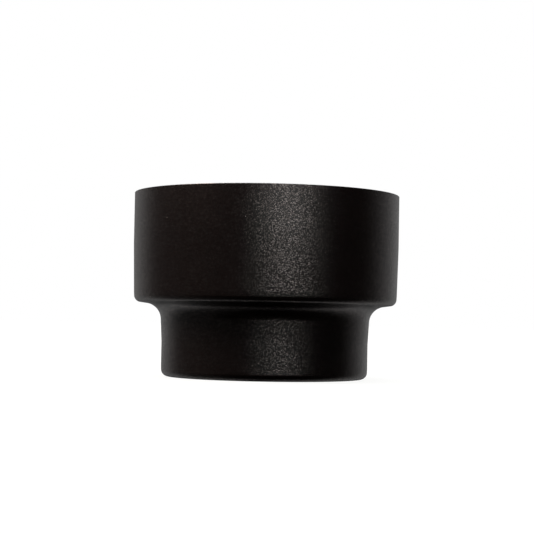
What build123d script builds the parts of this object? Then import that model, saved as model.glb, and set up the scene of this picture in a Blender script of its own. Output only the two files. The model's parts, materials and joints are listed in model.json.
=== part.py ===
from build123d import *
import os

# Stove-pipe reducer: a socket for a 150 mm pipe above, a spigot for a 120 mm socket below.
# It is welded from 2 mm steel: two rolled sleeves with a pressed step ring between them,
# V-groove butt welds dressed flush outside, and a rope seal lying on the step.
# The origin is the centre of the spigot's lower end, +Z runs up the pipe's axis, and the
# longitudinal seams are at the back, on +Y. Sizes are in millimetres, and radii are to the
# outer face of the sheet unless their name says otherwise.

# Driving dimensions
sheet = 2.0
overall_height = 106.0

socket_radius = 77.0
socket_guide_length = 30.0
rim_break = 0.3

shoulder_ease_radius = 76.35
shoulder_ease_height = 48.0
shoulder_ease_bend = 40.0
shoulder_radius = 76.0
shoulder_height = 43.0
shoulder_drop = 2.0
shoulder_bend = 4.0
step_root_radius = 61.0
step_root_bend = 9.5

spigot_radius = 59.9
spigot_guide_length = 14.0
nose_taper_length = 6.0
nose_radius = 59.7
lip_bend = 4.0
lip_bore_radius = 55.0

socket_weld_height = 53.0
spigot_weld_height = 27.0
weld_root_width = 1.0
weld_face_width = 3.0
weld_crown_width = 3.2
weld_crown_height = 0.6

rope_diameter = 6.0
rope_bedding = 0.2

# The sheet's outer outline, from the lip's edge up to the rim, as (radius, height)
lip_edge = (lip_bore_radius, 0)
nose_corner = (nose_radius, 0)
nose_taper_top = (spigot_radius, nose_taper_length)
spigot_guide_top = (spigot_radius, nose_taper_length + spigot_guide_length)
step_root = (step_root_radius, shoulder_height - shoulder_drop)
shoulder_corner = (shoulder_radius, shoulder_height)
shoulder_ease = (shoulder_ease_radius, shoulder_ease_height)
socket_guide_foot = (socket_radius, overall_height - socket_guide_length)
rim_edge = (socket_radius, overall_height)


def radius_between(lower, upper, height):
    """Outer radius of the straight wall between two outline points, at a height."""
    share = (height - lower[1]) / (upper[1] - lower[1])
    return lower[0] + share * (upper[0] - lower[0])


socket_weld_radius = radius_between(shoulder_ease, socket_guide_foot, socket_weld_height)
spigot_weld_radius = radius_between(spigot_guide_top, step_root, spigot_weld_height)


def bend(outline, corner, radius):
    """Round the outline where it turns at a corner."""
    fillet(outline.vertices().sort_by_distance((*corner, 0))[0], radius=radius)


def wall_section():
    """Half section of the whole sheet wall: the outer outline, thickened inwards."""
    with BuildSketch() as section:
        with BuildLine() as outline:
            Polyline(
                lip_edge,
                nose_corner,
                nose_taper_top,
                spigot_guide_top,
                step_root,
                shoulder_corner,
                shoulder_ease,
                socket_guide_foot,
                rim_edge,
            )
            bend(outline, nose_corner, lip_bend)
            bend(outline, step_root, step_root_bend)
            bend(outline, shoulder_corner, shoulder_bend)
            bend(outline, shoulder_ease, shoulder_ease_bend)
            offset(amount=sheet, side=Side.LEFT, kind=Kind.INTERSECTION, closed=True)
        make_face()
    return section.sketch


def ring_groove(weld_height, weld_radius):
    """Half section of the V between two sheet edges that a ring weld fills."""
    slope = (weld_face_width - weld_root_width) / 2 / sheet
    apex_radius = weld_radius - sheet - weld_root_width / 2 / slope
    mouth_radius = weld_radius + sheet
    half_mouth = (mouth_radius - apex_radius) * slope
    with BuildSketch() as groove:
        with BuildLine():
            Polyline(
                (apex_radius, weld_height),
                (mouth_radius, weld_height + half_mouth),
                (mouth_radius, weld_height - half_mouth),
                close=True,
            )
        make_face()
    return groove.sketch


def level_band(bottom, top):
    """Half section of the space between two heights, out past the widest radius."""
    with BuildSketch() as band:
        with Locations((0, bottom)):
            Rectangle(socket_radius + sheet, top - bottom, align=(Align.MIN, Align.MIN))
    return band.sketch


def seam_slot(wall_radius):
    """Plan of the slot at the back, between the strip's two ends, that a seam weld fills."""
    half_root = weld_root_width / 2
    half_face = weld_face_width / 2
    inner_radius = wall_radius - sheet
    with BuildSketch() as slot:
        with BuildLine():
            Polyline(
                (-half_root, lip_bore_radius - sheet),
                (-half_root, inner_radius),
                (-half_face, wall_radius),
                (-half_face, wall_radius + sheet),
                (half_face, wall_radius + sheet),
                (half_face, wall_radius),
                (half_root, inner_radius),
                (half_root, lip_bore_radius - sheet),
                close=True,
            )
        make_face()
    return slot.sketch


def wall_between(bottom, top, grooves):
    """Half section of the wall between two heights, less the grooves at its ends."""
    with BuildSketch(Plane.XZ) as section:
        add(wall)
        add(level_band(bottom, top), mode=Mode.INTERSECT)
        for groove in grooves:
            add(groove, mode=Mode.SUBTRACT)
    return section.sketch


def weld_section(groove):
    """Half section of the metal that fills a ring groove, flush with both faces of the sheet."""
    with BuildSketch(Plane.XZ) as section:
        add(wall)
        add(groove, mode=Mode.INTERSECT)
    return section.sketch


wall = wall_section()
socket_groove = ring_groove(socket_weld_height, socket_weld_radius)
spigot_groove = ring_groove(spigot_weld_height, spigot_weld_radius)

# Socket: a rolled strip, a true cylinder at the mouth and a slight taper down to the step
with BuildPart() as socket_sleeve:
    revolve(wall_between(socket_weld_height, overall_height, [socket_groove]), axis=Axis.Z)
    fillet(socket_sleeve.edges().group_by(Axis.Z)[-1], radius=rim_break)
    extrude(seam_slot(socket_radius), amount=overall_height, mode=Mode.SUBTRACT)

# The weld that closes the strip, dressed flush inside and out so that a pipe slides in
with BuildPart() as socket_seam_weld:
    revolve(wall_between(socket_weld_height, overall_height, [socket_groove]), axis=Axis.Z)
    fillet(socket_seam_weld.edges().group_by(Axis.Z)[-1], radius=rim_break)
    extrude(seam_slot(socket_radius), amount=overall_height, mode=Mode.INTERSECT)

# Step: one pressed ring, a shoulder bent out to the socket and a wide bend down to the spigot
with BuildPart() as step_ring:
    ring_wall = wall_between(spigot_weld_height, socket_weld_height, [spigot_groove, socket_groove])
    revolve(ring_wall, axis=Axis.Z)

with BuildPart() as socket_ring_weld:
    revolve(weld_section(socket_groove), axis=Axis.Z)

# Spigot: a rolled strip with its end bent in to a stiffening lip
with BuildPart() as spigot_sleeve:
    revolve(wall_between(0, spigot_weld_height, [spigot_groove]), axis=Axis.Z)
    extrude(seam_slot(spigot_radius), amount=overall_height, mode=Mode.SUBTRACT)

with BuildPart() as spigot_seam_weld:
    revolve(wall_between(0, spigot_weld_height, [spigot_groove]), axis=Axis.Z)
    extrude(seam_slot(spigot_radius), amount=overall_height, mode=Mode.INTERSECT)

# The weld under the step is out of every pipe's way, so its root stands proud inside
with BuildPart() as spigot_ring_weld:
    revolve(weld_section(spigot_groove), axis=Axis.Z)
    with BuildSketch(Plane.XZ):
        with Locations((spigot_weld_radius - sheet, spigot_weld_height)):
            Ellipse(weld_crown_height, weld_crown_width / 2)
        add(wall, mode=Mode.SUBTRACT)
    revolve(axis=Axis.Z)

# Rope seal: laid in the corner of the step, bedded a little into the shape of the sheet
shoulder_slope = shoulder_drop / (shoulder_radius - step_root_radius)
rope_centre_radius = shoulder_ease_radius - sheet - rope_diameter / 2 + rope_bedding
rope_floor = shoulder_height + sheet - shoulder_slope * (shoulder_radius - rope_centre_radius)
with BuildPart() as rope_seal:
    with BuildSketch(Plane.XZ):
        with Locations((rope_centre_radius, rope_floor + rope_diameter / 2 - rope_bedding)):
            Circle(rope_diameter / 2)
        add(wall, mode=Mode.SUBTRACT)
    revolve(axis=Axis.Z)

pieces = {
    "socket_sleeve": socket_sleeve,
    "socket_seam_weld": socket_seam_weld,
    "socket_ring_weld": socket_ring_weld,
    "step_ring": step_ring,
    "spigot_ring_weld": spigot_ring_weld,
    "spigot_sleeve": spigot_sleeve,
    "spigot_seam_weld": spigot_seam_weld,
    "rope_seal": rope_seal,
}

os.makedirs("parts", exist_ok=True)
for name, piece in pieces.items():
    piece.part.label = name
    export_step(piece.part, f"parts/{name}.step")
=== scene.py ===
"""Looks of a welded stove-pipe reducer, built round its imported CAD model.

A socket sleeve and a spigot sleeve are rolled from 2 mm sheet, and a pressed step ring joins them.
Two ring welds and two seam welds hold the sheet pieces together, and a braided rope seal lies on the
step. The outside is painted and the inside is bare steel. Lengths are in metres, unless a name ends
in _mm.
"""

import json
import logging
import math
from dataclasses import dataclass
from enum import Enum
from functools import partial
from typing import Any

import bmesh
import bpy
from mathutils import Matrix, Vector


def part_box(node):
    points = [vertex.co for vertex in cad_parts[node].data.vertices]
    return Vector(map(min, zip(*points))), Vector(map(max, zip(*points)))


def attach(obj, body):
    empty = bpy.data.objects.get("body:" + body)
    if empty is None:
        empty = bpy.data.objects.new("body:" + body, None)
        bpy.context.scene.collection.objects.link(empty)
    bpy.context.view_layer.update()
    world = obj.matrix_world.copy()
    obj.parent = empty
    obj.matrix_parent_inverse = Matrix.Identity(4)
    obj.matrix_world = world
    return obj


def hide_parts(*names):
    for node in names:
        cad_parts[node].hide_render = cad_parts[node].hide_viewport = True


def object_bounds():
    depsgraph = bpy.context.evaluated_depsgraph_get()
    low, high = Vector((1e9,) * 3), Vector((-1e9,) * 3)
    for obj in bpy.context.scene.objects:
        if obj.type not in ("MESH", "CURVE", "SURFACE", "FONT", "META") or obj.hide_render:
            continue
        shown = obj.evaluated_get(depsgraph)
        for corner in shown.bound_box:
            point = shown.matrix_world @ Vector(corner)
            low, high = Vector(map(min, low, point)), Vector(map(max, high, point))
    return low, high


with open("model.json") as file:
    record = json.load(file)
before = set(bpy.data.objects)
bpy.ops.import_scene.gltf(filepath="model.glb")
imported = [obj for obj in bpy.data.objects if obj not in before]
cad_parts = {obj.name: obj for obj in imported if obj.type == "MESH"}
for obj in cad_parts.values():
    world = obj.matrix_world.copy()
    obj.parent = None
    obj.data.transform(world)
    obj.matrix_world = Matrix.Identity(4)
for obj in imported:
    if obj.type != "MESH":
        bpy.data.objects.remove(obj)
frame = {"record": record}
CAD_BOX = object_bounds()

LOG = logging.getLogger("stove_pipe_reducer")
MM = 0.001
BODY = "root"
RIPPLE_TRAIL = 2.2  # radians that a weld's ripple lags by at the top of its crown
RIPPLE_WANDER = 0.31  # how fast the depth of the ripples wanders, per radian of ripple
YARN_SIDES = 6
CORE_STEPS = 180
CORE_SIDES = 16
SHADE_SEED = 4


# ------------------------------------------------------------------ nodes and colours


def linear_rgba(hex_colour: str) -> tuple[float, float, float, float]:
    """Turn an sRGB colour into the linear one that shaders take.

    Args:
        hex_colour: Six hex digits after a hash.

    Returns:
        Red, green and blue, and an alpha of one.
    """
    channels = [int(hex_colour[i : i + 2], 16) / 255 for i in (1, 3, 5)]
    red, green, blue = (c / 12.92 if c <= 0.04045 else ((c + 0.055) / 1.055) ** 2.4 for c in channels)
    return (red, green, blue, 1.0)


def add_node(
    tree: bpy.types.NodeTree, kind: str, inputs: dict[str | int, Any] | None = None, **settings: Any
) -> bpy.types.Node:
    """Add one node, with its settings, input values and links.

    Args:
        tree: The tree that the node joins.
        kind: The node's type name.
        inputs: Input names or numbers, each with a value, or with a socket or a node to link
            from. A node stands for its first output.
        **settings: The node's own attributes.

    Returns:
        The new node.
    """
    made = tree.nodes.new(kind)
    for name, value in settings.items():
        setattr(made, name, value)
    for key, value in (inputs or {}).items():
        if isinstance(value, bpy.types.Node):
            value = value.outputs[0]
        if isinstance(value, bpy.types.NodeSocket):
            tree.links.new(value, made.inputs[key])
        else:
            made.inputs[key].default_value = value
    return made


def new_material(name: str) -> tuple[bpy.types.Material, bpy.types.NodeTree]:
    """Start a material.

    Args:
        name: The finish's plain name.

    Returns:
        The material and its empty tree.
    """
    material = bpy.data.materials.new(name)
    material.use_nodes = True
    material.node_tree.nodes.clear()
    return material, material.node_tree


def add_surface(tree: bpy.types.NodeTree, inputs: dict[str, Any]) -> None:
    """Close a material's tree with a principled surface that has these inputs."""
    shader = add_node(tree, "ShaderNodeBsdfPrincipled", inputs)
    add_node(tree, "ShaderNodeOutputMaterial", {"Surface": shader})


def unrolled(tree: bpy.types.NodeTree, radius: float) -> tuple[bpy.types.NodeSocket, bpy.types.NodeSocket]:
    """Give a surface's place on the sheet as if it were unrolled, cut along the seam at the back.

    Args:
        tree: The material's tree.
        radius: The radius at which an arc keeps its true length.

    Returns:
        The vector of arc length and height, and the height alone.
    """
    node = partial(add_node, tree)
    place = node("ShaderNodeTexCoord").outputs["Object"]
    axes = node("ShaderNodeSeparateXYZ", {0: place})
    front = node("ShaderNodeMath", {0: axes.outputs["Y"], 1: -1.0}, operation="MULTIPLY")
    turn = node("ShaderNodeMath", {0: axes.outputs["X"], 1: front}, operation="ARCTAN2")
    arc = node("ShaderNodeMath", {0: turn, 1: radius}, operation="MULTIPLY")
    flat = node("ShaderNodeCombineXYZ", {"X": arc, "Y": axes.outputs["Z"]})
    return flat.outputs[0], axes.outputs["Z"]


# ------------------------------------------------------------------ finishes


@dataclass(frozen=True)
class StovePaint:
    """Heat-resistant silicone paint, sprayed and baked: near black, satin and gritty, with mica."""

    colour: str = "#150e0d"
    dust_colour: str = "#8f8b86"
    dull_mica: str = "#2c2927"
    bright_mica: str = "#9c9490"
    roughness: float = 0.24
    gloss_spread: float = 0.04
    ior: float = 1.5
    grit_mm: float = 0.8  # the real grit is about 0.1 mm, drawn coarser so that it shows
    grit_height_mm: float = 0.1
    mica_mm: float = 0.3
    mica_share: float = 0.3
    cloud_mm: float = 14.0
    dust_cell_mm: float = 11.0
    dust_speck_mm: float = 0.35
    dust_share: float = 0.35

    def material(self) -> bpy.types.Material:
        """Build the paint: grit, mica, cloudy gloss and a few flecks of dust."""
        made, tree = new_material("heat_resistant_silicone_paint")
        node = partial(add_node, tree)
        place = node("ShaderNodeTexCoord").outputs["Object"]
        grit = node(
            "ShaderNodeTexNoise",
            {"Vector": place, "Scale": 1 / (self.grit_mm * MM), "Detail": 2.0, "Roughness": 0.6},
        )
        bump = node("ShaderNodeBump", {"Strength": 1.0, "Distance": self.grit_height_mm * MM, "Height": grit})
        clouds = node(
            "ShaderNodeTexNoise", {"Vector": place, "Scale": 1 / (self.cloud_mm * MM), "Detail": 3.0}
        )
        gloss = node(
            "ShaderNodeMapRange",
            {0: clouds, 3: self.roughness - self.gloss_spread, 4: self.roughness + self.gloss_spread},
        )
        flakes = node("ShaderNodeTexVoronoi", {"Vector": place, "Scale": 1 / (self.mica_mm * MM)})
        flake = node("ShaderNodeSeparateXYZ", {0: flakes.outputs["Color"]})
        is_mica = node("ShaderNodeMath", {0: flake, 1: self.mica_share}, operation="LESS_THAN")
        mica = node(
            "ShaderNodeMix",
            {0: flake.outputs[1], 6: linear_rgba(self.dull_mica), 7: linear_rgba(self.bright_mica)},
            data_type="RGBA",
        )
        coat = node(
            "ShaderNodeMix", {0: is_mica, 6: linear_rgba(self.colour), 7: mica.outputs[2]}, data_type="RGBA"
        )
        dust = self.dust(tree, place)
        colour = node(
            "ShaderNodeMix", {0: dust, 6: coat.outputs[2], 7: linear_rgba(self.dust_colour)}, data_type="RGBA"
        )
        bare_mica = node("ShaderNodeMath", {0: is_mica, 1: dust}, operation="SUBTRACT", use_clamp=True)
        look = {"Base Color": colour.outputs[2], "Metallic": bare_mica, "Roughness": gloss}
        add_surface(tree, {**look, "Normal": bump, "IOR": self.ior})
        return made

    def dust(self, tree: bpy.types.NodeTree, place: bpy.types.NodeSocket) -> bpy.types.NodeSocket:
        """Scatter a few specks of dust.

        Args:
            tree: The material's tree.
            place: The object coordinates.

        Returns:
            One on a speck and nought elsewhere.
        """
        node = partial(add_node, tree)
        cells = node("ShaderNodeTexVoronoi", {"Vector": place, "Scale": 1 / (self.dust_cell_mm * MM)})
        near = node(
            "ShaderNodeMath",
            {0: cells.outputs["Distance"], 1: self.dust_speck_mm / self.dust_cell_mm},
            operation="LESS_THAN",
        )
        chosen = node(
            "ShaderNodeMath", {0: cells.outputs["Color"], 1: self.dust_share}, operation="LESS_THAN"
        )
        return node(
            "ShaderNodeMath", {0: near.outputs[0], 1: chosen.outputs[0]}, operation="MULTIPLY"
        ).outputs[0]


@dataclass(frozen=True)
class MillSteel:
    """Cold-rolled steel sheet, left bare: grey, satin and streaked, with paint drift at the ends."""

    radius: float
    rim_height: float
    weld_heights: tuple[float, ...]
    colour: str = "#8d8a86"
    oil_colour: str = "#6f675c"
    tint_colour: str = "#5a4334"
    drift_colour: str = "#151311"
    roughness: float = 0.4
    streak_mm: float = 0.5
    streak_length_mm: float = 26.0
    streak_depth_mm: float = 0.012
    film_mm: float = 18.0
    film_strength: float = 0.75
    drift_mm: float = 11.0
    spray_mm: float = 0.7
    tint_mm: float = 5.0
    tint_strength: float = 0.75

    def material(self) -> bpy.types.Material:
        """Build the steel: rolling streaks, an oily film, weld heat tint and black drift at both ends."""
        made, tree = new_material("bare_cold_rolled_steel")
        node = partial(add_node, tree)
        place, height = unrolled(tree, self.radius)
        stretched = node(
            "ShaderNodeMapping",
            {"Vector": place, "Scale": (1 / (self.streak_length_mm * MM), 1 / (self.streak_mm * MM), 1.0)},
        )
        streaks = node("ShaderNodeTexNoise", {"Vector": stretched, "Scale": 1.0, "Detail": 4.0})
        film = node(
            "ShaderNodeTexNoise",
            {"Vector": place, "Scale": 1 / (self.film_mm * MM), "Detail": 5.0, "Roughness": 0.62},
        )
        film_share = node("ShaderNodeMapRange", {0: film, 1: 0.42, 2: 0.7, 3: 0.0, 4: self.film_strength})
        steel = node(
            "ShaderNodeMix",
            {0: film_share, 6: linear_rgba(self.colour), 7: linear_rgba(self.oil_colour)},
            data_type="RGBA",
        ).outputs[2]
        for weld_height in self.weld_heights:
            above = node("ShaderNodeMath", {0: height, 1: weld_height}, operation="SUBTRACT")
            off = node("ShaderNodeMath", {0: above}, operation="ABSOLUTE")
            tint = node(
                "ShaderNodeMapRange",
                {0: off, 1: 0.0, 2: self.tint_mm * MM, 3: self.tint_strength, 4: 0.0},
                interpolation_type="SMOOTHSTEP",
            )
            steel = node(
                "ShaderNodeMix", {0: tint, 6: steel, 7: linear_rgba(self.tint_colour)}, data_type="RGBA"
            ).outputs[2]
        drift = self.drift(tree, place, height)
        colour = node(
            "ShaderNodeMix", {0: drift, 6: steel, 7: linear_rgba(self.drift_colour)}, data_type="RGBA"
        )
        metal = node("ShaderNodeMath", {0: 1.0, 1: drift}, operation="SUBTRACT")
        rough = node("ShaderNodeMapRange", {0: streaks, 3: self.roughness - 0.1, 4: self.roughness + 0.14})
        bump = node(
            "ShaderNodeBump", {"Strength": 1.0, "Distance": self.streak_depth_mm * MM, "Height": streaks}
        )
        look = {"Base Color": colour.outputs[2], "Metallic": metal, "Roughness": rough}
        add_surface(tree, {**look, "Normal": bump})
        return made

    def drift(
        self, tree: bpy.types.NodeTree, place: bpy.types.NodeSocket, height: bpy.types.NodeSocket
    ) -> bpy.types.NodeSocket:
        """Give the share of paint drift, dense at the rim and at the lip and broken into spray further in.

        Args:
            tree: The material's tree.
            place: The unrolled place.
            height: The height.

        Returns:
            The share, from nought to one.
        """
        node = partial(add_node, tree)
        from_rim = node("ShaderNodeMath", {0: self.rim_height, 1: height}, operation="SUBTRACT")
        nearest = node("ShaderNodeMath", {0: from_rim, 1: height}, operation="MINIMUM")
        density = node("ShaderNodeMapRange", {0: nearest, 1: 0.0, 2: self.drift_mm * MM, 3: 1.0, 4: 0.0})
        spray = node(
            "ShaderNodeTexNoise", {"Vector": place, "Scale": 1 / (self.spray_mm * MM), "Detail": 2.0}
        )
        lean = node("ShaderNodeMath", {0: density, 1: spray}, operation="ADD")
        share = node("ShaderNodeMapRange", {0: lean, 1: 0.95, 2: 1.25})
        return share.outputs[0]


@dataclass(frozen=True)
class DressedWeld:
    """Mild steel weld metal, ground or left rippled: bright, with straw and blue heat colours."""

    radius: float
    colour: str = "#b3aca3"
    straw_colour: str = "#8a6a42"
    blue_colour: str = "#4b4f63"
    roughness: float = 0.3
    scratch_mm: float = 0.35
    scratch_length_mm: float = 9.0
    scratch_depth_mm: float = 0.02
    scratch_degrees: float = 35.0
    bloom_mm: float = 6.0

    def material(self) -> bpy.types.Material:
        """Build the weld metal: grinding scratches over patches of heat colour."""
        made, tree = new_material("dressed_weld_steel")
        node = partial(add_node, tree)
        place, _ = unrolled(tree, self.radius)
        stretched = node(
            "ShaderNodeMapping",
            {
                "Vector": place,
                "Rotation": (0.0, 0.0, math.radians(self.scratch_degrees)),
                "Scale": (1 / (self.scratch_length_mm * MM), 1 / (self.scratch_mm * MM), 1.0),
            },
        )
        scratches = node("ShaderNodeTexNoise", {"Vector": stretched, "Scale": 1.0, "Detail": 3.0})
        bloom = node(
            "ShaderNodeTexNoise", {"Vector": place, "Scale": 1 / (self.bloom_mm * MM), "Detail": 2.0}
        )
        heat = node("ShaderNodeValToRGB", {0: bloom})
        ramp = heat.color_ramp
        ramp.elements[0].position = 0.38
        ramp.elements[0].color = linear_rgba(self.colour)
        ramp.elements[1].position = 0.68
        ramp.elements[1].color = linear_rgba(self.blue_colour)
        ramp.elements.new(0.54).color = linear_rgba(self.straw_colour)
        rough = node("ShaderNodeMapRange", {0: scratches, 3: self.roughness - 0.08, 4: self.roughness + 0.16})
        bump = node(
            "ShaderNodeBump", {"Strength": 1.0, "Distance": self.scratch_depth_mm * MM, "Height": scratches}
        )
        add_surface(tree, {"Base Color": heat, "Metallic": 1.0, "Roughness": rough, "Normal": bump})
        return made


@dataclass(frozen=True)
class GlassYarn:
    """Braided glass-fibre yarn: off-white and dull, with fine filaments along each yarn."""

    colour: str = "#b9b3a6"
    shade_colour: str = "#8f887a"
    roughness: float = 0.82
    sheen: float = 0.25
    filaments: float = 7.0
    filament_depth_mm: float = 0.03
    fuzz_mm: float = 0.5

    def material(self) -> bpy.types.Material:
        """Build the yarn, each one of its own shade, with filament ridges."""
        made, tree = new_material("braided_glass_fibre")
        node = partial(add_node, tree)
        shade = node("ShaderNodeAttribute", attribute_name="yarn_shade")
        across = node("ShaderNodeAttribute", attribute_name="yarn_across")
        place = node("ShaderNodeTexCoord").outputs["Object"]
        fuzz = node("ShaderNodeTexNoise", {"Vector": place, "Scale": 1 / (self.fuzz_mm * MM), "Detail": 2.0})
        mixed = node("ShaderNodeMath", {0: shade.outputs["Fac"], 1: fuzz}, operation="MULTIPLY")
        colour = node(
            "ShaderNodeMix",
            {0: mixed, 6: linear_rgba(self.colour), 7: linear_rgba(self.shade_colour)},
            data_type="RGBA",
        )
        ridges = node(
            "ShaderNodeMath", {0: across.outputs["Fac"], 1: math.tau * self.filaments}, operation="MULTIPLY"
        )
        wave = node("ShaderNodeMath", {0: ridges}, operation="SINE")
        height = node("ShaderNodeMath", {0: wave, 1: fuzz}, operation="ADD")
        bump = node(
            "ShaderNodeBump", {"Strength": 1.0, "Distance": self.filament_depth_mm * MM, "Height": height}
        )
        look = {"Base Color": colour.outputs[2], "Roughness": self.roughness}
        add_surface(tree, {**look, "Sheen Weight": self.sheen, "Normal": bump})
        return made


@dataclass(frozen=True)
class PaleFloor:
    """Opal acrylic table top lit from beneath: white to look at, with shadows that stay pale."""

    face: str = "#3c3c3b"
    light: str = "#fefefd"
    roughness: float = 0.9
    glow: float = 0.93

    def material(self) -> bpy.types.Material:
        """Build the plain floor finish."""
        made, tree = new_material("opal_acrylic_table")
        glow = {"Emission Color": linear_rgba(self.light), "Emission Strength": self.glow}
        add_surface(tree, {"Base Color": linear_rgba(self.face), "Roughness": self.roughness, **glow})
        return made


# ------------------------------------------------------------------ outline of the sheet


@dataclass(frozen=True)
class Corner:
    """A corner of the sheet's outer outline, with the radius that it is bent to."""

    radius: float
    height: float
    bend: float = 0.0


@dataclass(frozen=True)
class SectionPoint:
    """A point of a closed section, whether it faces inwards, and its share of a weld's crown."""

    radius: float
    height: float
    inside: float = 0.0
    crown: float = 0.0


@dataclass(frozen=True)
class OutlinePoint:
    """A point of the sheet's outer face, with the direction that the face looks in."""

    place: Vector
    outward: Vector

    def inner(self, sheet: float) -> Vector:
        """Give the point straight through the sheet."""
        return self.place - self.outward * sheet


def bent_outline(corners: list[Corner], arc_steps: int) -> list[OutlinePoint]:
    """Round an outline's corners to their bends.

    Args:
        corners: The corners in order, with the sheet on the left of the way along them.
        arc_steps: The number of chords in each bend.

    Returns:
        The outline's points in order.
    """
    spots = [Vector((c.radius, c.height)) for c in corners]
    ways = [(b - a).normalized() for a, b in zip(spots, spots[1:])]
    sides = [Vector((way.y, -way.x)) for way in ways]
    points = [OutlinePoint(spots[0], sides[0])]
    for corner, spot, way, side, next_way, next_side in zip(
        corners[1:-1], spots[1:-1], ways, sides, ways[1:], sides[1:]
    ):
        turn = math.atan2(way.x * next_way.y - way.y * next_way.x, way.dot(next_way))
        if not corner.bend:
            points.append(OutlinePoint(spot, (side + next_side).normalized()))
            continue
        start = spot - way * corner.bend * math.tan(abs(turn) / 2)
        hollow = -math.copysign(1.0, turn)
        centre = start + side * corner.bend * hollow
        for step in range(arc_steps + 1):
            outward = Matrix.Rotation(turn * step / arc_steps, 2) @ side
            points.append(OutlinePoint(centre - outward * corner.bend * hollow, outward))
    points.append(OutlinePoint(spots[-1], sides[-1]))
    return points


def between(points: list[Vector], low: float, high: float) -> list[Vector]:
    """Keep the stretch of a rising line between two heights.

    Args:
        points: The line's points, whose heights never fall.
        low: The height to start from.
        high: The height to stop at.

    Returns:
        The stretch, with new points at the two heights where the line crosses them.
    """
    kept: list[Vector] = []
    for a, b in zip(points, points[1:]):
        if b.y < low or a.y > high or b.y - a.y < 1e-9 and not low <= a.y <= high:
            continue
        rise = max(b.y - a.y, 1e-12)
        first = a if a.y >= low else a.lerp(b, (low - a.y) / rise)
        last = b if b.y <= high else a.lerp(b, (high - a.y) / rise)
        for spot in (first, last):
            if not kept or (kept[-1] - spot).length > 1e-7:
                kept.append(spot)
    return kept


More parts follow.
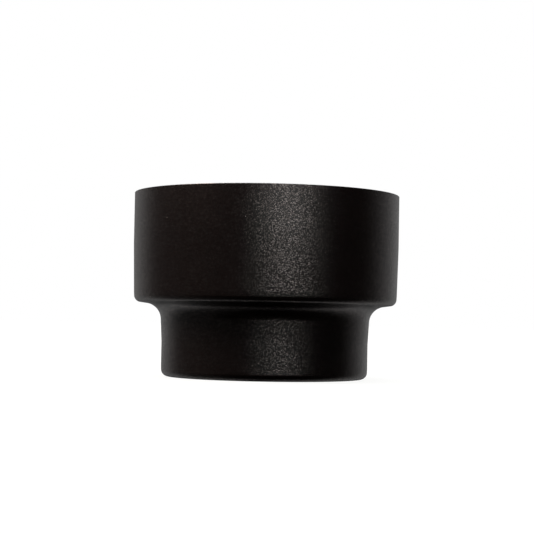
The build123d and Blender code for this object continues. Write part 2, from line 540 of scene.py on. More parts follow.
@dataclass(frozen=True)
class SheetWall:
    """The sheet's whole wall, from the lip's edge up to the rim, worked out from the frame and the bends."""

    lip_bore_mm: float = 55.0
    nose_radius_mm: float = 59.7
    lip_bend_mm: float = 4.0
    step_root_radius_mm: float = 61.0
    step_root_bend_mm: float = 9.5
    shoulder_radius_mm: float = 76.0
    shoulder_height_mm: float = 43.0
    shoulder_drop_mm: float = 2.0
    shoulder_bend_mm: float = 4.0
    shoulder_ease_radius_mm: float = 76.35
    shoulder_ease_height_mm: float = 48.0
    shoulder_ease_bend_mm: float = 40.0
    rim_break_mm: float = 0.3
    weld_root_mm: float = 1.0
    weld_face_mm: float = 3.0
    arc_steps: int = 24

    @property
    def mounts(self) -> dict[str, dict[str, Any]]:
        """Give the record's mounts by name."""
        return {mount["name"]: mount for mount in frame["record"]["mounts"]}

    @property
    def height(self) -> float:
        """Give the rim's height."""
        return CAD_BOX[1].z

    @property
    def bore(self) -> float:
        """Give the socket's inner radius at its mouth."""
        return self.mounts["socket"]["dims"]["r_mm"] * MM

    @property
    def socket_radius(self) -> float:
        """Give the socket's outer radius at its mouth, to the nearest hundredth of a millimetre."""
        return round(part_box("socket_sleeve")[1].x / MM, 2) * MM

    @property
    def spigot_radius(self) -> float:
        """Give the spigot's outer radius where it is cylindrical."""
        return self.mounts["spigot"]["dims"]["r_mm"] * MM

    @property
    def sheet(self) -> float:
        """Give the sheet's thickness."""
        return self.socket_radius - self.bore

    def weld_height(self, node: str) -> float:
        """Give the height of a ring weld's middle."""
        low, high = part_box(node)
        return (low.z + high.z) / 2

    def outline(self) -> list[OutlinePoint]:
        """Give the outer outline, from the lip's edge to the rim."""
        spigot, guide = self.mounts["spigot"], self.mounts["socket"]["dims"]["length_mm"] * MM
        half_guide = spigot["dims"]["length_mm"] * MM / 2
        corners = [
            Corner(self.lip_bore_mm * MM, 0.0),
            Corner(self.nose_radius_mm * MM, 0.0, self.lip_bend_mm * MM),
            Corner(self.spigot_radius, spigot["pos_m"][2] - half_guide),
            Corner(self.spigot_radius, spigot["pos_m"][2] + half_guide),
            Corner(
                self.step_root_radius_mm * MM,
                (self.shoulder_height_mm - self.shoulder_drop_mm) * MM,
                self.step_root_bend_mm * MM,
            ),
            Corner(self.shoulder_radius_mm * MM, self.shoulder_height_mm * MM, self.shoulder_bend_mm * MM),
            Corner(
                self.shoulder_ease_radius_mm * MM,
                self.shoulder_ease_height_mm * MM,
                self.shoulder_ease_bend_mm * MM,
            ),
            Corner(self.socket_radius, self.height - guide),
            Corner(self.socket_radius, self.height),
        ]
        return bent_outline(corners, self.arc_steps)

    def section(self, low: float | None, high: float | None) -> list[SectionPoint]:
        """Give the closed section of a sheet piece.

        Args:
            low: The height of the ring weld under it, or None at the lip.
            high: The height of the ring weld over it, or None at the rim.

        Returns:
            The section's points, up the outer face and down the inner one.
        """
        face, root = self.weld_face_mm * MM / 2, self.weld_root_mm * MM / 2
        points = self.outline()
        outer = [p.place for p in points]
        inner = [p.inner(self.sheet) for p in points]
        outer_low = -1.0 if low is None else low + face
        inner_low = -1.0 if low is None else low + root
        rim = self.height - self.rim_break_mm * MM
        outer = between(outer, outer_low, rim if high is None else high - face)
        inner = between(inner, inner_low, rim if high is None else high - root)
        edge = [] if high is not None else self.rim_edge()
        return [
            *(SectionPoint(p.x, p.y) for p in outer),
            *edge,
            *(SectionPoint(p.x, p.y, inside=1.0) for p in reversed(inner)),
        ]

    def rim_edge(self) -> list[SectionPoint]:
        """Give the rim's two small rounded edges, without their ends."""
        size, steps = self.rim_break_mm * MM, 5
        centres = ((self.socket_radius - size, 0.0), (self.bore + size, math.pi / 2))
        turns = [(x, start + math.pi / 2 * i / steps) for x, start in centres for i in range(steps + 1)]
        return [
            SectionPoint(x + size * math.cos(turn), self.height - size + size * math.sin(turn))
            for x, turn in turns[1:-1]
        ]

    def weld_section(
        self, height: float, crown_width: float = 0.0, crown_height: float = 0.0
    ) -> list[SectionPoint]:
        """Give the closed section of a ring weld.

        Args:
            height: The weld's middle.
            crown_width: How wide its crown is inside, or nought where it is dressed flush.
            crown_height: How far the crown stands proud.

        Returns:
            The section's points, up the outer face and down the inner one.
        """
        face, root = self.weld_face_mm * MM / 2, self.weld_root_mm * MM / 2
        points = self.outline()
        outer = between([p.place for p in points], height - face, height + face)
        inner_line = [p.inner(self.sheet) for p in points]
        reach = max(crown_width / 2, root)
        inner = between(inner_line, height - reach, height + reach)
        top, bottom = inner[-1], inner[0]
        section = [SectionPoint(p.x, p.y) for p in outer]
        if not crown_width:
            return section + [SectionPoint(top.x, top.y, 1.0), SectionPoint(bottom.x, bottom.y, 1.0)]
        lower_root, *_, upper_root = between(inner_line, height - root, height + root)
        section.append(SectionPoint(upper_root.x, upper_root.y, 1.0))
        for step in range(self.arc_steps + 1):
            turn = math.pi * step / self.arc_steps
            spot = top.lerp(bottom, (1 - math.cos(turn)) / 2)
            swell = math.sin(turn)
            section.append(SectionPoint(spot.x - crown_height * swell, spot.y, 1.0, swell))
        section.append(SectionPoint(lower_root.x, lower_root.y, 1.0))
        return section


# ------------------------------------------------------------------ geometry trees


class Closure(Enum):
    """How far round the axis a section runs: its turn, and the side of the seam's slot that it stops at."""

    RING = (math.tau, 0.0)
    STRIP = (math.tau, 1.0)
    SEAM = (0.0, -1.0)


def geometry_tree(name: str, sockets: dict[str, tuple[str, ...]]) -> tuple[bpy.types.NodeTree, Any]:
    """Start a geometry tree with named inputs.

    Args:
        name: The tree's name.
        sockets: Socket types, each with the names of its inputs.

    Returns:
        The tree, and the sockets of its inputs by name.
    """
    tree = bpy.data.node_groups.new(name, "GeometryNodeTree")
    tree.interface.new_socket("Geometry", in_out="INPUT", socket_type="NodeSocketGeometry")
    tree.interface.new_socket("Geometry", in_out="OUTPUT", socket_type="NodeSocketGeometry")
    for kind, labels in sockets.items():
        for label in labels:
            tree.interface.new_socket(label, in_out="INPUT", socket_type="NodeSocket" + kind)
    return tree, add_node(tree, "NodeGroupInput").outputs


def made_by_tree(
    name: str, base: bpy.types.Mesh, tree: bpy.types.NodeTree, values: dict[str, Any]
) -> bpy.types.Object:
    """Run a geometry tree once and keep its result as a plain mesh.

    Args:
        name: The piece's name.
        base: The mesh that the tree starts from.
        tree: The tree.
        values: The tree's inputs by name.

    Returns:
        The piece, with no modifier left on it.
    """
    piece = bpy.data.objects.new(name, base)
    bpy.context.scene.collection.objects.link(piece)
    modifier = piece.modifiers.new(tree.name, "NODES")
    modifier.node_group = tree
    identifiers = {item.name: item.identifier for item in tree.interface.items_tree if item.in_out == "INPUT"}
    for label, value in values.items():
        modifier[identifiers[label]] = value
    evaluated = piece.evaluated_get(bpy.context.evaluated_depsgraph_get())
    mesh = bpy.data.meshes.new_from_object(evaluated)
    piece.modifiers.clear()
    piece.data = mesh
    mesh.name = name
    bpy.data.meshes.remove(base)
    return piece


def close_and_smooth(mesh: bpy.types.Mesh, sharp_degrees: float = 32.0) -> None:
    """Cap a mesh's open ends, turn its faces outwards and keep its corners sharp."""
    shape = bmesh.new()
    shape.from_mesh(mesh)
    open_edges = [edge for edge in shape.edges if edge.is_boundary]
    if open_edges:
        bmesh.ops.holes_fill(shape, edges=open_edges)
    bmesh.ops.recalc_face_normals(shape, faces=shape.faces)
    for face in shape.faces:
        face.smooth = True
    shape.to_mesh(mesh)
    shape.free()
    mesh.set_sharp_from_angle(angle=math.radians(sharp_degrees))


def revolve_tree() -> bpy.types.NodeTree:
    """Build the tree that carries a section round the axis, from one side of the rear seam to the other."""
    tree, given = geometry_tree(
        "section_round_axis",
        {
            "Int": ("Steps Round",),
            "Float": (
                *("Turn", "Slot Side", "Bore Radius", "Outer Radius", "Slot Root", "Slot Face"),
                *("Face Rise", "Ripple Depth", "Ripples"),
            ),
            "Material": ("Outer Finish", "Inner Finish"),
        },
    )
    node = partial(add_node, tree)
    section = given["Geometry"]
    size = node("GeometryNodeAttributeDomainSize", {0: section}, component="MESH")
    columns = node("ShaderNodeMath", {0: given["Steps Round"], 1: 1.0}, operation="ADD")
    rows = node("ShaderNodeMath", {0: size.outputs["Point Count"], 1: 1.0}, operation="ADD")
    grid = node("GeometryNodeMeshGrid", {"Vertices X": rows, "Vertices Y": columns})
    index = node("GeometryNodeInputIndex")
    row = node("FunctionNodeIntegerMath", {0: index, 1: columns}, operation="DIVIDE")
    column = node("FunctionNodeIntegerMath", {0: index, 1: columns}, operation="MODULO")
    section_index = node(
        "FunctionNodeIntegerMath", {0: row, 1: size.outputs["Point Count"]}, operation="MODULO"
    )
    position = node("GeometryNodeInputPosition")
    place = node(
        "GeometryNodeSampleIndex",
        {"Geometry": section, "Value": position, "Index": section_index},
        data_type="FLOAT_VECTOR",
    )
    marks = {}
    for mark in ("inside", "crown"):
        named = node("GeometryNodeInputNamedAttribute", {"Name": mark}, data_type="FLOAT")
        marks[mark] = node(
            "GeometryNodeSampleIndex",
            {"Geometry": section, "Value": named, "Index": section_index},
            data_type="FLOAT",
        )
    axes = node("ShaderNodeSeparateXYZ", {0: place})
    radius, height = axes.outputs["X"], axes.outputs["Z"]

    share = node("ShaderNodeMath", {0: column, 1: given["Steps Round"]}, operation="DIVIDE")
    half_slot = node(
        "ShaderNodeMapRange",
        {
            0: radius,
            1: given["Bore Radius"],
            2: given["Outer Radius"],
            3: given["Slot Root"],
            4: given["Slot Face"],
        },
    )
    slope = node("ShaderNodeMath", {0: half_slot, 1: radius}, operation="DIVIDE")
    slot_turn = node("ShaderNodeMath", {0: slope}, operation="ARCSINE")
    start = node("ShaderNodeMath", {0: slot_turn, 1: given["Slot Side"]}, operation="MULTIPLY")
    stop = node("ShaderNodeMath", {0: given["Turn"], 1: start}, operation="SUBTRACT")
    turn = node("ShaderNodeMapRange", {0: share, 3: start, 4: stop}, clamp=False)

    # a seam's outer face is ground a little hollow towards its middle
    middle = node("ShaderNodeMath", {0: share, 1: math.pi}, operation="MULTIPLY")
    swell = node("ShaderNodeMath", {0: middle}, operation="SINE")
    outer = node("ShaderNodeMath", {0: 1.0, 1: marks["inside"]}, operation="SUBTRACT")
    outer_swell = node("ShaderNodeMath", {0: swell, 1: outer}, operation="MULTIPLY")
    rise = node(
        "ShaderNodeMath", {0: outer_swell, 1: given["Face Rise"], 2: radius}, operation="MULTIPLY_ADD"
    )

    # a crown's ripples trail back from its middle line, and their depth wanders
    beat = node("ShaderNodeMath", {0: turn, 1: given["Ripples"]}, operation="MULTIPLY")
    trail = node("ShaderNodeMath", {0: marks["crown"], 1: RIPPLE_TRAIL, 2: beat}, operation="MULTIPLY_ADD")
    wave = node("ShaderNodeMath", {0: trail}, operation="SINE")
    wander = node(
        "ShaderNodeTexNoise", {"W": beat, "Scale": RIPPLE_WANDER, "Detail": 2.0}, noise_dimensions="1D"
    )
    uneven = node("ShaderNodeMath", {0: wave, 1: wander, 2: wander}, operation="MULTIPLY_ADD")
    depth = node("ShaderNodeMath", {0: marks["crown"], 1: given["Ripple Depth"]}, operation="MULTIPLY")
    hollow = node("ShaderNodeMath", {0: depth, 1: uneven, 2: rise}, operation="MULTIPLY_ADD")

    sine = node("ShaderNodeMath", {0: turn}, operation="SINE")
    cosine = node("ShaderNodeMath", {0: turn}, operation="COSINE")
    back = node("ShaderNodeMath", {0: hollow, 1: -1.0}, operation="MULTIPLY")
    x = node("ShaderNodeMath", {0: back, 1: sine}, operation="MULTIPLY")
    y = node("ShaderNodeMath", {0: hollow, 1: cosine}, operation="MULTIPLY")
    spot = node("ShaderNodeCombineXYZ", {0: x, 1: y, 2: height})
    placed = node("GeometryNodeSetPosition", {"Geometry": grid.outputs["Mesh"], "Position": spot})
    marked = node(
        "GeometryNodeStoreNamedAttribute",
        {"Geometry": placed, "Name": "inside", "Value": marks["inside"]},
        data_type="FLOAT",
        domain="POINT",
    )
    merged = node("GeometryNodeMergeByDistance", {"Geometry": marked, "Distance": 1e-6})
    real = node("GeometryNodeRealizeInstances", {0: merged})
    outside = node("GeometryNodeSetMaterial", {"Geometry": real, "Material": given["Outer Finish"]})
    mark = node("GeometryNodeInputNamedAttribute", {"Name": "inside"}, data_type="FLOAT")
    is_inside = node("ShaderNodeMath", {0: mark, 1: 0.99}, operation="GREATER_THAN")
    both = node(
        "GeometryNodeSetMaterial",
        {"Geometry": outside, "Selection": is_inside, "Material": given["Inner Finish"]},
    )
    node("NodeGroupOutput", {0: both})
    return tree


def braid_tree() -> bpy.types.NodeTree:
    """Build the tree that braids yarns round a ring, half of them each way, over one and under one."""
    tree, given = geometry_tree(
        "yarns_braided_round_ring",
        {
            "Int": ("Steps Round", "Yarns Each Way", "Turns"),
            "Float": (
                *("Ring Radius", "Ring Height", "Braid Radius", "Weave Depth", "Yarn Width"),
                *("Yarn Thickness", "Core Radius", "Wall Radius", "Floor Height", "Floor Slope"),
            ),
            "Material": ("Finish",),
        },
    )
    node = partial(add_node, tree)
    steps, yarns, turns = (given[n] for n in ("Steps Round", "Yarns Each Way", "Turns"))
    ring = node("GeometryNodeCurvePrimitiveCircle", {"Resolution": steps, "Radius": given["Ring Radius"]})
    total = node("ShaderNodeMath", {0: yarns, 1: 2.0}, operation="MULTIPLY")
    copies = node(
        "GeometryNodeDuplicateElements", {"Geometry": ring.outputs["Curve"], "Amount": total}, domain="SPLINE"
    )
    number = copies.outputs["Duplicate Index"]
    index = node("GeometryNodeInputIndex")
    step = node("FunctionNodeIntegerMath", {0: index, 1: steps}, operation="MODULO")
    share = node("ShaderNodeMath", {0: step, 1: steps}, operation="DIVIDE")
    turn = node("ShaderNodeMath", {0: share, 1: math.tau}, operation="MULTIPLY")
    first_half = node("ShaderNodeMath", {0: number, 1: yarns}, operation="LESS_THAN")
    way = node("ShaderNodeMath", {0: first_half, 1: 2.0, 2: -1.0}, operation="MULTIPLY_ADD")
    wound = node("ShaderNodeMath", {0: turn, 1: turns}, operation="MULTIPLY")
    phase = node("ShaderNodeMath", {0: number, 1: yarns}, operation="DIVIDE")
    offset = node("ShaderNodeMath", {0: phase, 1: math.tau}, operation="MULTIPLY")
    roll = node("ShaderNodeMath", {0: wound, 1: way, 2: offset}, operation="MULTIPLY_ADD")
    crossing = node("ShaderNodeMath", {0: wound, 1: yarns}, operation="MULTIPLY")
    weave = node("ShaderNodeMath", {0: crossing}, operation="COSINE")
    lift = node("ShaderNodeMath", {0: weave, 1: way}, operation="MULTIPLY")
    spread = node(
        "ShaderNodeMath",
        {0: lift, 1: given["Weave Depth"], 2: given["Braid Radius"]},
        operation="MULTIPLY_ADD",
    )
    cosine = node("ShaderNodeMath", {0: roll}, operation="COSINE")
    sine = node("ShaderNodeMath", {0: roll}, operation="SINE")
    free_radius = node(
        "ShaderNodeMath", {0: spread, 1: cosine, 2: given["Ring Radius"]}, operation="MULTIPLY_ADD"
    )
    radius = node("ShaderNodeMath", {0: free_radius, 1: given["Wall Radius"]}, operation="MINIMUM")
    free_height = node(
        "ShaderNodeMath", {0: spread, 1: sine, 2: given["Ring Height"]}, operation="MULTIPLY_ADD"
    )
    beyond = node("ShaderNodeMath", {0: radius, 1: given["Ring Radius"]}, operation="SUBTRACT")
    ground = node(
        "ShaderNodeMath",
        {0: beyond, 1: given["Floor Slope"], 2: given["Floor Height"]},
        operation="MULTIPLY_ADD",
    )
    height = node("ShaderNodeMath", {0: free_height, 1: ground}, operation="MAXIMUM")
    turn_cosine = node("ShaderNodeMath", {0: turn}, operation="COSINE")
    turn_sine = node("ShaderNodeMath", {0: turn}, operation="SINE")
    across = node("ShaderNodeCombineXYZ", {0: turn_cosine, 1: turn_sine})
    flat = node("ShaderNodeVectorMath", {0: across, "Scale": radius}, operation="SCALE")
    up = node("ShaderNodeCombineXYZ", {2: height})
    spot = node("ShaderNodeVectorMath", {0: flat, 1: up}, operation="ADD")
    laid = node("GeometryNodeSetPosition", {"Geometry": copies.outputs["Geometry"], "Position": spot})
    lean = node("ShaderNodeVectorMath", {0: across, "Scale": cosine}, operation="SCALE")
    stand = node("ShaderNodeCombineXYZ", {2: sine})
    outward = node("ShaderNodeVectorMath", {0: lean, 1: stand}, operation="ADD")
    turned = node("GeometryNodeSetCurveNormal", {"Curve": laid, "Normal": outward}, mode="FREE")
    shade = node("FunctionNodeRandomValue", {"ID": number, "Seed": SHADE_SEED}, data_type="FLOAT")
    shaded = node(
        "GeometryNodeStoreNamedAttribute",
        {"Geometry": turned, "Name": "yarn_shade", "Value": shade.outputs["Value"]},
        data_type="FLOAT",
        domain="POINT",
    )
    round_yarn = node("GeometryNodeCurvePrimitiveCircle", {"Resolution": YARN_SIDES, "Radius": 0.5})
    girth = node("GeometryNodeSplineParameter")
    girthed = node(
        "GeometryNodeStoreNamedAttribute",
        {"Geometry": round_yarn.outputs["Curve"], "Name": "yarn_across", "Value": girth.outputs["Factor"]},
        data_type="FLOAT",
        domain="POINT",
    )
    squash = node("ShaderNodeCombineXYZ", {0: given["Yarn Thickness"], 1: given["Yarn Width"], 2: 1.0})
    yarn = node("GeometryNodeTransform", {"Geometry": girthed, "Scale": squash})
    braid = node("GeometryNodeCurveToMesh", {"Curve": shaded, "Profile Curve": yarn})
    core_ring = node(
        "GeometryNodeCurvePrimitiveCircle", {"Resolution": CORE_STEPS, "Radius": given["Ring Radius"]}
    )
    core_lift = node("ShaderNodeCombineXYZ", {2: given["Ring Height"]})
    core_line = node(
        "GeometryNodeTransform", {"Geometry": core_ring.outputs["Curve"], "Translation": core_lift}
    )
    core_round = node(
        "GeometryNodeCurvePrimitiveCircle", {"Resolution": CORE_SIDES, "Radius": given["Core Radius"]}
    )
    core = node("GeometryNodeCurveToMesh", {"Curve": core_line, "Profile Curve": core_round.outputs["Curve"]})
    together = node("GeometryNodeJoinGeometry")
    tree.links.new(core.outputs[0], together.inputs[0])
    tree.links.new(braid.outputs[0], together.inputs[0])
    real = node("GeometryNodeRealizeInstances", {0: together})
    finished = node("GeometryNodeSetMaterial", {"Geometry": real, "Material": given["Finish"]})
    node("NodeGroupOutput", {0: finished})
    return tree


# ------------------------------------------------------------------ sub-assemblies


@dataclass
class SheetWork:
    """The sheet pieces and their welds: each is a section carried round the axis."""

    wall: SheetWall
    paint: bpy.types.Material
    steel: bpy.types.Material
    weld_metal: bpy.types.Material
    steps_round: int = 512
    seam_steps: int = 10
    seam_dip_mm: float = 0.06
    crown_width_mm: float = 3.2
    crown_height_mm: float = 0.6
    ripple_depth_mm: float = 0.16
    ripple_pitch_mm: float = 1.7
    steps_per_ripple: int = 8

    def build(self) -> list[bpy.types.Object]:
        """Build every sheet piece and weld.

        Returns:
            The finished pieces.
        """
        wall, tree = self.wall, revolve_tree()
        upper, lower = wall.weld_height("socket_ring_weld"), wall.weld_height("spigot_ring_weld")
        bare = (wall.bore, wall.socket_radius)
        narrow = (wall.spigot_radius - wall.sheet, wall.spigot_radius)
        crown = (self.crown_width_mm * MM, self.crown_height_mm * MM)
        ripples = round(math.tau * narrow[0] / (self.ripple_pitch_mm * MM))
        ripple = {"Ripple Depth": self.ripple_depth_mm * MM, "Ripples": float(ripples)}
        ripple_steps = ripples * self.steps_per_ripple
        socket, spigot = wall.section(upper, None), wall.section(None, lower)
        return [
            self.piece(tree, "socket_sleeve", socket, Closure.STRIP, bare, self.steel),
            self.piece(tree, "socket_seam_weld", socket, Closure.SEAM, bare, self.weld_metal),
            self.piece(tree, "step_ring", wall.section(lower, upper), Closure.RING, bare, self.steel),
            self.piece(
                tree, "socket_ring_weld", wall.weld_section(upper), Closure.RING, bare, self.weld_metal
            ),
            self.piece(tree, "spigot_sleeve", spigot, Closure.STRIP, narrow, self.steel),
            self.piece(tree, "spigot_seam_weld", spigot, Closure.SEAM, narrow, self.weld_metal),
            self.piece(
                tree,
                "spigot_ring_weld",
                wall.weld_section(lower, *crown),
                Closure.RING,
                narrow,
                self.weld_metal,
                steps=ripple_steps,
                extra=ripple,
            ),
        ]

    def piece(
        self,
        tree: bpy.types.NodeTree,
        node: str,
        section: list[SectionPoint],
        closure: Closure,
        radii: tuple[float, float],
        inner_finish: bpy.types.Material,
        steps: int | None = None,
        extra: dict[str, float] | None = None,
    ) -> bpy.types.Object:
        """Build one piece, hang it on the body and hide the CAD node that it stands in for.

        Args:
            tree: The tree that carries a section round the axis.
            node: The CAD node that the piece stands for.
            section: The piece's closed section.
            closure: How far round it goes.
            radii: The radii at which the seam's slot has its root and face widths.
            inner_finish: The finish of the faces that look inwards.
            steps: The number of steps round, if not the usual one.
            extra: More inputs of the tree.

        Returns:
            The piece.
        """
        base = bpy.data.meshes.new(node + "_section")
        count = len(section)
        edges = [(i, (i + 1) % count) for i in range(count)]
        base.from_pydata([(p.radius, 0.0, p.height) for p in section], edges, [])
        for mark in ("inside", "crown"):
            values = [getattr(p, mark) for p in section]
            base.attributes.new(mark, "FLOAT", "POINT").data.foreach_set("value", values)
        turn, side = closure.value
        usual = self.seam_steps if closure is Closure.SEAM else self.steps_round
        values = {
            "Steps Round": steps or usual,
            "Turn": turn,
            "Slot Side": side,
            "Bore Radius": radii[0],
            "Outer Radius": radii[1],
            "Slot Root": self.wall.weld_root_mm * MM / 2,
            "Slot Face": self.wall.weld_face_mm * MM / 2,
            "Face Rise": -self.seam_dip_mm * MM if closure is Closure.SEAM else 0.0,
            "Ripple Depth": 0.0,
            "Ripples": 0.0,
            "Outer Finish": self.paint,
            "Inner Finish": inner_finish,
            **(extra or {}),
        }
        made = made_by_tree(node + "_shape", base, tree, values)
        close_and_smooth(made.data)
        made.data.attributes.remove(made.data.attributes["inside"])
        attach(made, BODY)
        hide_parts(node)
        return made


@dataclass
class RopeSeal:
    """The braided rope that lies in the corner of the step, inside the socket."""

    wall: SheetWall
    finish: bpy.types.Material
    node: str = "rope_seal"
    yarns_each_way: int = 6
    turns: int = 16
    steps_per_crossing: int = 5
    diameter_mm: float = 6.0
    yarn_width_mm: float = 2.35
    yarn_thickness_mm: float = 0.8
    weave_depth_mm: float = 0.3
    core_radius_mm: float = 2.1

    def build(self) -> bpy.types.Object:
        """Braid the rope, hang it on the body and hide the CAD node that it stands in for.

        Returns:
            The rope.
        """
        low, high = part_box(self.node)
        wall_radius = high.x
        half_yarn = self.yarn_thickness_mm * MM / 2
        rope_radius = self.diameter_mm * MM / 2
        drop = self.wall.shoulder_drop_mm
        run = self.wall.shoulder_radius_mm - self.wall.step_root_radius_mm
        base = bpy.data.meshes.new("rope_start")
        values = {
            "Steps Round": 2 * self.yarns_each_way * self.turns * self.steps_per_crossing,
            "Yarns Each Way": self.yarns_each_way,
            "Turns": self.turns,
            "Ring Radius": wall_radius - rope_radius,
            "Ring Height": high.z - rope_radius,
            "Braid Radius": rope_radius - half_yarn - self.weave_depth_mm * MM,
            "Weave Depth": self.weave_depth_mm * MM,
            "Yarn Width": self.yarn_width_mm * MM,
            "Yarn Thickness": self.yarn_thickness_mm * MM,
            "Core Radius": self.core_radius_mm * MM,
            "Wall Radius": wall_radius - half_yarn,
            "Floor Height": low.z + half_yarn,
            "Floor Slope": drop / run,
            "Finish": self.finish,
        }
        made = made_by_tree(self.node + "_braid", base, braid_tree(), values)
        close_and_smooth(made.data, sharp_degrees=80.0)
        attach(made, BODY)
        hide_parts(self.node)
        return made


# ------------------------------------------------------------------ studio


@dataclass(frozen=True)
class SoftSun:
    """A far light with a broad disc, which gives soft shadows."""

    name: str
    azimuth: float
    elevation: float
    spread: float
    power: float
    colour: str = "#ffffff"

    def build(self) -> None:
        """Hang the light so that it shines at the object from its side of the compass."""
        data = bpy.data.lights.new(self.name, "SUN")
        data.energy, data.angle = self.power, math.radians(self.spread)
        data.color = linear_rgba(self.colour)[:3]
        light = bpy.data.objects.new(self.name, data)
        bpy.context.scene.collection.objects.link(light)
        around, up = math.radians(self.azimuth), math.radians(self.elevation)
        away = Vector((math.sin(around) * math.cos(up), -math.cos(around) * math.cos(up), math.sin(up)))
        light.rotation_euler = away.to_track_quat("Z", "Y").to_euler()


class Compass(Enum):
    """The two angles that tell where a direction of the studio lies."""

    AZIMUTH = "round to the right, from straight in front"
    ELEVATION = "up from level"


@dataclass(frozen=True)
class Studio:
    """A pale floor under soft skylight, a wide soft window in front, white cloth behind and the camera."""

    window_azimuth: float = 17.5
    window_spread: float = 37.0
    window_power: float = 1.34
    overhead_power: float = 0.4
    camera_distance: float = 0.81116
    camera_height: float = 0.03428
    camera_lens_mm: float = 93.74
    camera_pitch: float = 0.037
    camera_yaw: float = 0.0008
    camera_roll: float = 0.0183
    sensor_mm: float = 36.0
    floor_size: float = 12.0
    floor_drop_mm: float = 0.2
    # each span is in degrees, from where its shade or light is nought to where it is full
    shade_front: tuple[float, float] = (80.0, 45.0)
    shade_behind: tuple[float, float] = (150.0, 178.0)
    shade_behind_share: float = 0.85
    shade_below: tuple[float, float] = (-5.0, -14.0)
    shade_below_share: float = 0.92
    overhead_rise: tuple[float, float] = (40.0, 65.0)
    cloth_stops: tuple[tuple[float, float], ...] = (
        (-180, 0.15),
        (-168, 0.26),
        (-140, 0.31),
        (-122, 0.19),
        (-110, 0.068),
        (-70, 0.042),
        (-38, 0.036),
        (0, 0.02),
        (60, 0.01),
        (96, 0.01),
        (110, 0.09),
        (124, 0.22),
        (145, 0.34),
        (168, 0.28),
        (180, 0.15),
    )
    window_stops: tuple[tuple[float, float], ...] = (
        (-8, 0.0),
        (-4, 0.1),
        (-1, 0.4),
        (1.5, 0.84),
        (4, 1.0),
        (8, 0.92),
        (20, 0.68),
        (45, 0.3),
        (60, 0.0),
    )

    def build(self) -> None:
        """Set up the floor, the surround, the lights and the camera."""
        bpy.context.scene.view_settings.view_transform = "Standard"
        self.floor()
        SoftSun("skylight", azimuth=0, elevation=90, spread=60, power=4.0).build()
        SoftSun("side_light", azimuth=-80, elevation=48, spread=30, power=3.2, colour="#ffe9dc").build()
        self.surround()
        self.camera()

    def floor(self) -> None:
        """Lay the floor under the object."""
        half = self.floor_size / 2
        data = bpy.data.meshes.new("floor")
        corners = [(-half, -half, 0), (half, -half, 0), (half, half, 0), (-half, half, 0)]
        data.from_pydata(corners, [], [(0, 1, 2, 3)])
        data.materials.append(PaleFloor().material())
        floor = bpy.data.objects.new("floor", data)
        floor.location.z = -self.floor_drop_mm * MM
        bpy.context.scene.collection.objects.link(floor)
        floor.visible_glossy = False
        floor.visible_diffuse = False

    def surround(self) -> None:
        """Make the room: white to look at, with its light spread round the compass."""
        world = bpy.data.worlds.new("studio")
        world.use_nodes = True
        bpy.context.scene.world = world
        tree = world.node_tree
        node = partial(add_node, tree)
        tree.nodes.clear()
        angles = self.angles(tree)
        azimuth, elevation = angles[Compass.AZIMUTH], angles[Compass.ELEVATION]
        cloth = self.brightness(tree, azimuth, self.cloth_stops)
        aside = node("ShaderNodeMath", {0: azimuth}, operation="ABSOLUTE")
        in_front = node(
            "ShaderNodeMapRange",
            {0: aside, 1: self.shade_front[0], 2: self.shade_front[1], 3: 0.0, 4: 1.0},
            interpolation_type="SMOOTHSTEP",
        )
        behind = node(
            "ShaderNodeMapRange",
            {0: aside, 1: self.shade_behind[0], 2: self.shade_behind[1], 3: 0.0, 4: self.shade_behind_share},
            interpolation_type="SMOOTHSTEP",
        )
        below = node(
            "ShaderNodeMapRange",
            {0: elevation, 1: self.shade_below[0], 2: self.shade_below[1], 3: 0.0, 4: self.shade_below_share},
            interpolation_type="SMOOTHSTEP",
        )
        shaded = node("ShaderNodeMath", {0: in_front, 1: behind}, operation="ADD")
        shade = node("ShaderNodeMath", {0: shaded, 1: below}, operation="MULTIPLY")
        share = node("ShaderNodeMath", {0: 1.0, 1: shade}, operation="SUBTRACT")
        around = node("ShaderNodeMath", {0: cloth, 1: share}, operation="MULTIPLY")
        off_window = node("ShaderNodeMath", {0: azimuth, 1: self.window_azimuth}, operation="SUBTRACT")
        off = node("ShaderNodeMath", {0: off_window}, operation="ABSOLUTE")
        across = node(
            "ShaderNodeMapRange",
            {0: off, 1: self.window_spread, 2: 0.0, 3: 0.0, 4: self.window_power},
            interpolation_type="SMOOTHSTEP",
        )
        window = node(
            "ShaderNodeMath",
            {0: across, 1: self.brightness(tree, elevation, self.window_stops), 2: around},
            operation="MULTIPLY_ADD",
        )
        overhead = node(
            "ShaderNodeMapRange",
            {
                0: elevation,
                1: self.overhead_rise[0],
                2: self.overhead_rise[1],
                3: 0.0,
                4: self.overhead_power,
            },
            interpolation_type="SMOOTHSTEP",
        )
        light = node("ShaderNodeMath", {0: window, 1: overhead}, operation="ADD")
        seen = node("ShaderNodeLightPath").outputs["Is Camera Ray"]
        shown = node("ShaderNodeMath", {0: light, 1: seen}, operation="MAXIMUM")
        ground = node("ShaderNodeBackground", {"Color": (1.0, 1.0, 1.0, 1.0), "Strength": shown})
        node("ShaderNodeOutputWorld", {0: ground})

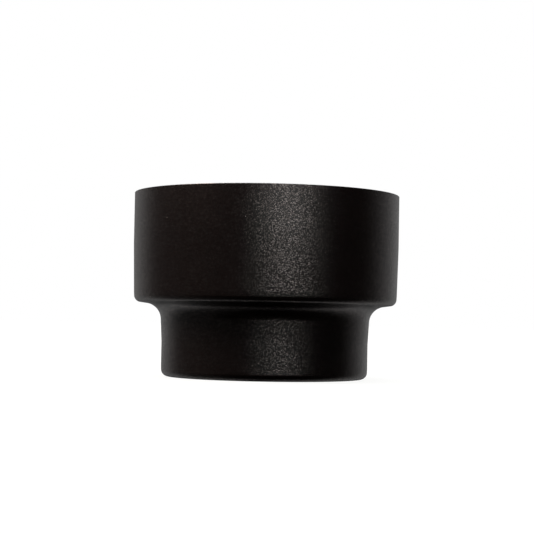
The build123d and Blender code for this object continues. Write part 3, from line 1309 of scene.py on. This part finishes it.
    def angles(self, tree: bpy.types.NodeTree) -> dict[Compass, bpy.types.NodeSocket]:
        """Give a direction's two angles in degrees.

        Args:
            tree: The world's tree.

        Returns:
            The angles by name.
        """
        node = partial(add_node, tree)
        way = node("ShaderNodeTexCoord").outputs["Generated"]
        axes = node("ShaderNodeSeparateXYZ", {0: way})
        front = node("ShaderNodeMath", {0: axes.outputs["Y"], 1: -1.0}, operation="MULTIPLY")
        turn = node("ShaderNodeMath", {0: axes.outputs["X"], 1: front}, operation="ARCTAN2")
        rise = node("ShaderNodeMath", {0: axes.outputs["Z"]}, operation="ARCSINE")
        azimuth = node("ShaderNodeMath", {0: turn}, operation="DEGREES")
        elevation = node("ShaderNodeMath", {0: rise}, operation="DEGREES")
        return {Compass.AZIMUTH: azimuth.outputs[0], Compass.ELEVATION: elevation.outputs[0]}

    def brightness(
        self, tree: bpy.types.NodeTree, angle: bpy.types.NodeSocket, stops: tuple[tuple[float, float], ...]
    ) -> bpy.types.NodeSocket:
        """Give a brightness that goes evenly from stop to stop.

        Args:
            tree: The world's tree.
            angle: The angle that it follows.
            stops: Angles, each with its brightness.

        Returns:
            The brightness.
        """
        first, last = stops[0][0], stops[-1][0]
        along = add_node(tree, "ShaderNodeMapRange", {0: angle, 1: first, 2: last})
        ramp = add_node(tree, "ShaderNodeValToRGB", {0: along})
        elements = ramp.color_ramp.elements
        for number, (stop, value) in enumerate(stops):
            if number == 0:
                element = elements[0]
            elif number == len(stops) - 1:
                element = elements[-1]
            else:
                element = elements.new((stop - first) / (last - first))
            element.color = (value, value, value, 1.0)
        return ramp.outputs[0]

    def camera(self) -> None:
        """Place the camera in front, almost level with the step."""
        sine, cosine = math.sin, math.cos
        forward = Vector(
            (
                sine(self.camera_yaw) * cosine(self.camera_pitch),
                cosine(self.camera_yaw) * cosine(self.camera_pitch),
                sine(self.camera_pitch),
            ),
        )
        level = Vector((cosine(self.camera_yaw), -sine(self.camera_yaw), 0.0))
        top = level.cross(forward)
        right = level * cosine(self.camera_roll) + top * sine(self.camera_roll)
        up = top * cosine(self.camera_roll) - level * sine(self.camera_roll)
        data = bpy.data.cameras.new("camera")
        data.lens, data.sensor_width = self.camera_lens_mm, self.sensor_mm
        camera = bpy.data.objects.new("camera", data)
        bpy.context.scene.collection.objects.link(camera)
        turn = Matrix((right, up, -forward)).transposed().to_4x4()
        camera.matrix_world = Matrix.Translation((0.0, -self.camera_distance, self.camera_height)) @ turn
        bpy.context.scene.camera = camera


def main() -> None:
    """Build the reducer and its studio."""
    logging.basicConfig(level=logging.INFO, format="%(message)s")
    wall = SheetWall()
    welds = (wall.weld_height("socket_ring_weld"), wall.weld_height("spigot_ring_weld"))
    steel = MillSteel(radius=wall.bore, rim_height=wall.height, weld_heights=welds)
    sheet_work = SheetWork(
        wall=wall,
        paint=StovePaint().material(),
        steel=steel.material(),
        weld_metal=DressedWeld(radius=wall.bore).material(),
    )
    pieces = sheet_work.build()
    pieces.append(RopeSeal(wall=wall, finish=GlassYarn().material()).build())
    for piece in pieces:
        LOG.info("%s: %d faces", piece.name, len(piece.data.polygons))
    Studio().build()
    bpy.context.view_layer.update()


if __name__ == "__main__":
    main()
